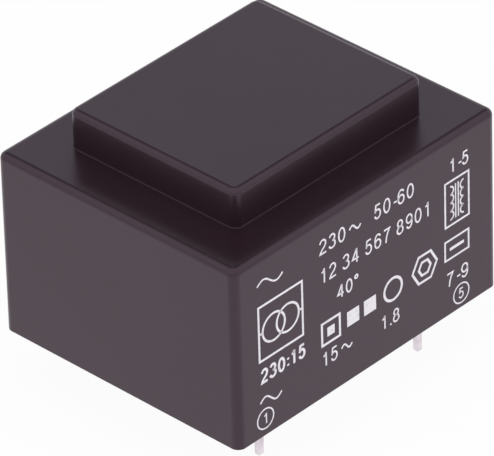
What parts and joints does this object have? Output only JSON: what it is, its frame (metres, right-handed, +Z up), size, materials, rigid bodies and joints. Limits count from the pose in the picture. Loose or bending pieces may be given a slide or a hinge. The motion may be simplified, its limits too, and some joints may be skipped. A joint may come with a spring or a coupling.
{
  "type": "pcb transformer",
  "caption": "Potted mains transformer for circuit boards: a rectangular moulded cup with a raised block on top, and square pins below.",
  "frame": {"origin": "centre of the footprint, in the plane of the cup's rim, which sits on the board", "axes": "+X along the long printed side from pin 1 to pin 5, -Y out of the printed side, +Z up from the board"},
  "size_m": [0.0324, 0.0274, 0.0272],
  "materials": {
    "housing_plastic": "satin",
    "resin": "satin",
    "bobbin_plastic": "matte",
    "enamelled_copper": "satin",
    "tape": "satin",
    "core_steel": "satin",
    "tinned_wire": "satin",
    "solder": "satin"
  },
  "bodies": {
    "root": {"bobbin": "bobbin_plastic", "e_lamination_01": "core_steel", "e_lamination_02": "core_steel", "e_lamination_03": "core_steel", "e_lamination_04": "core_steel", "e_lamination_05": "core_steel", "e_lamination_06": "core_steel", "e_lamination_07": "core_steel", "e_lamination_08": "core_steel", "e_lamination_09": "core_steel", "e_lamination_10": "core_steel", "e_lamination_11": "core_steel", "e_lamination_12": "core_steel", "e_lamination_13": "core_steel", "e_lamination_14": "core_steel", "e_lamination_15": "core_steel", "e_lamination_16": "core_steel", "e_lamination_17": "core_steel", "e_lamination_18": "core_steel", "e_lamination_19": "core_steel", "e_lamination_20": "core_steel", "e_lamination_21": "core_steel", "housing": "housing_plastic", "i_lamination_01": "core_steel", "i_lamination_02": "core_steel", "i_lamination_03": "core_steel", "i_lamination_04": "core_steel", "i_lamination_05": "core_steel", "i_lamination_06": "core_steel", "i_lamination_07": "core_steel", "i_lamination_08": "core_steel", "i_lamination_09": "core_steel", "i_lamination_10": "core_steel", "i_lamination_11": "core_steel", "i_lamination_12": "core_steel", "i_lamination_13": "core_steel", "i_lamination_14": "core_steel", "i_lamination_15": "core_steel", "i_lamination_16": "core_steel", "i_lamination_17": "core_steel", "i_lamination_18": "core_steel", "i_lamination_19": "core_steel", "i_lamination_20": "core_steel", "i_lamination_21": "core_steel", "pin_1": "tinned_wire", "pin_5": "tinned_wire", "pin_7": "tinned_wire", "pin_9": "tinned_wire", "potting_resin": "resin", "primary_tape": "tape", "primary_winding": "enamelled_copper", "secondary_tape": "tape", "secondary_winding": "enamelled_copper", "solder_joint_1": "solder", "solder_joint_5": "solder", "solder_joint_7": "solder", "solder_joint_9": "solder"}
  },
  "joints": []
}
